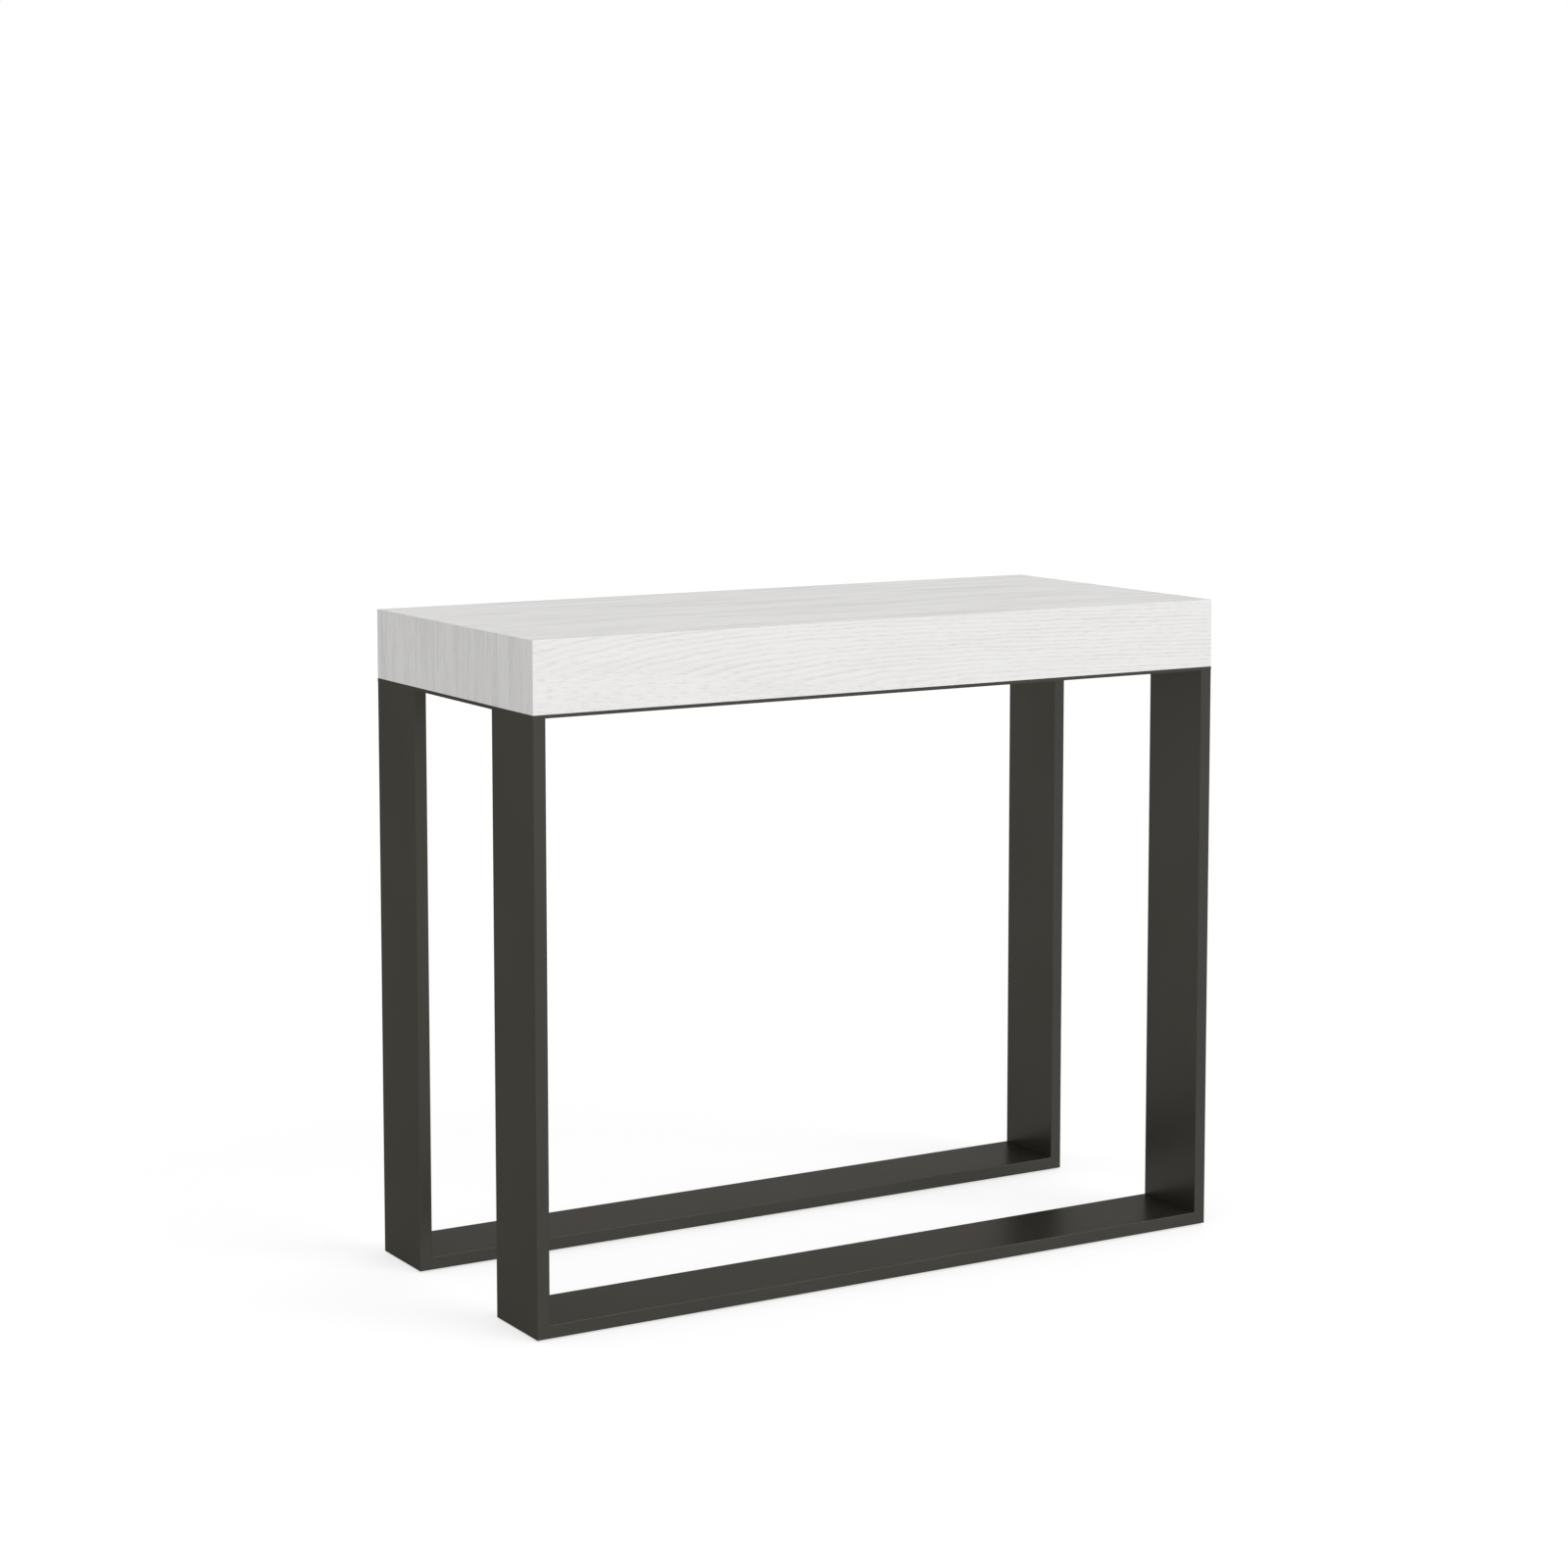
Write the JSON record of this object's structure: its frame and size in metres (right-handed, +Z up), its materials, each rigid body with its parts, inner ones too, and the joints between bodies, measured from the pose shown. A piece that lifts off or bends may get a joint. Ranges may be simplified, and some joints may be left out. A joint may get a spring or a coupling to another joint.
{
  "type": "extending console table",
  "caption": "Slim box-topped console table on two flat steel loop frames; the front half draws out on hidden telescopic rails to make room for loose leaves.",
  "frame": {"origin": "on the floor, under the middle of the closed table", "axes": "+X along the long side to the right, +Y towards the back, +Z up"},
  "size_m": [0.9, 0.4, 0.76],
  "materials": {
    "white_ash": "matt white ash grain facing",
    "anthracite_paint": "satin anthracite powder coat",
    "anodised_aluminium": "satin anodised extrusion",
    "zinc_steel": "bright zinc plate",
    "black_nylon": "moulded nylon",
    "glide_nylon": "moulded glide",
    "beech": "raw beech"
  },
  "bodies": {
    "rear_half": {"latch_studs": "zinc_steel", "rear_apron": "white_ash", "rear_floor_rail": "anthracite_paint", "rear_glides": "glide_nylon", "rear_left_end": "white_ash", "rear_left_leg": "anthracite_paint", "rear_left_rail": "anodised_aluminium", "rear_plate": "anthracite_paint", "rear_plate_screws": "zinc_steel", "rear_rail_screws": "zinc_steel", "rear_right_end": "white_ash", "rear_right_leg": "anthracite_paint", "rear_right_rail": "anodised_aluminium", "rear_stop_rivets": "zinc_steel", "rear_top_panel": "white_ash"},
    "front_half": {"alignment_dowels": "beech", "front_apron": "white_ash", "front_floor_rail": "anthracite_paint", "front_glides": "glide_nylon", "front_left_end": "white_ash", "front_left_leg": "anthracite_paint", "front_left_rail": "anodised_aluminium", "front_plate": "anthracite_paint", "front_plate_screws": "zinc_steel", "front_rail_screws": "zinc_steel", "front_right_end": "white_ash", "front_right_leg": "anthracite_paint", "front_right_rail": "anodised_aluminium", "front_shoes": "black_nylon", "front_top_panel": "white_ash", "latch_pivots": "zinc_steel"},
    "left_latch": {"left_latch_lever": "zinc_steel"},
    "right_latch": {"right_latch_lever": "zinc_steel"},
    "rail_stage_1": {"stage_1_crossbar": "zinc_steel", "stage_1_fasteners": "zinc_steel", "stage_1_left_rail": "anodised_aluminium", "stage_1_right_rail": "anodised_aluminium", "stage_1_shoes": "black_nylon"},
    "rail_stage_2": {"stage_2_crossbar": "zinc_steel", "stage_2_fasteners": "zinc_steel", "stage_2_left_rail": "anodised_aluminium", "stage_2_right_rail": "anodised_aluminium", "stage_2_shoes": "black_nylon"},
    "rail_stage_3": {"stage_3_crossbar": "zinc_steel", "stage_3_fasteners": "zinc_steel", "stage_3_left_rail": "anodised_aluminium", "stage_3_right_rail": "anodised_aluminium", "stage_3_shoes": "black_nylon"},
    "rail_stage_4": {"stage_4_crossbar": "zinc_steel", "stage_4_fasteners": "zinc_steel", "stage_4_left_rail": "anodised_aluminium", "stage_4_right_rail": "anodised_aluminium", "stage_4_shoes": "black_nylon"},
    "rail_stage_5": {"stage_5_crossbar": "zinc_steel", "stage_5_fasteners": "zinc_steel", "stage_5_left_rail": "anodised_aluminium", "stage_5_right_rail": "anodised_aluminium", "stage_5_shoes": "black_nylon"}
  },
  "joints": [
    {"name": "extension", "type": "slide", "parent": "rear_half", "child": "front_half", "axis": [0, -1, 0], "range_m": [0, 1.56]},
    {"name": "stage_1_slide", "type": "slide", "parent": "rear_half", "child": "rail_stage_1", "axis": [0, -1, 0], "range_m": [0, 0.26]},
    {"name": "stage_2_slide", "type": "slide", "parent": "rear_half", "child": "rail_stage_2", "axis": [0, -1, 0], "range_m": [0, 0.52]},
    {"name": "stage_3_slide", "type": "slide", "parent": "rear_half", "child": "rail_stage_3", "axis": [0, -1, 0], "range_m": [0, 0.78]},
    {"name": "stage_4_slide", "type": "slide", "parent": "rear_half", "child": "rail_stage_4", "axis": [0, -1, 0], "range_m": [0, 1.04]},
    {"name": "stage_5_slide", "type": "slide", "parent": "rear_half", "child": "rail_stage_5", "axis": [0, -1, 0], "range_m": [0, 1.3]},
    {"name": "left_latch_turn", "type": "hinge", "parent": "front_half", "child": "left_latch", "pos_m": [-0.1, -0.025, 0.7364], "axis": [0, 0, 1], "range_deg": [0, 90]},
    {"name": "right_latch_turn", "type": "hinge", "parent": "front_half", "child": "right_latch", "pos_m": [0.1, -0.025, 0.7364], "axis": [0, 0, -1], "range_deg": [0, 90]}
  ],
  "couplings": [
    {"joint": "stage_1_slide", "follows": "extension", "ratio": 0.16667},
    {"joint": "stage_2_slide", "follows": "extension", "ratio": 0.33333},
    {"joint": "stage_3_slide", "follows": "extension", "ratio": 0.5},
    {"joint": "stage_4_slide", "follows": "extension", "ratio": 0.66667},
    {"joint": "stage_5_slide", "follows": "extension", "ratio": 0.83333}
  ]
}
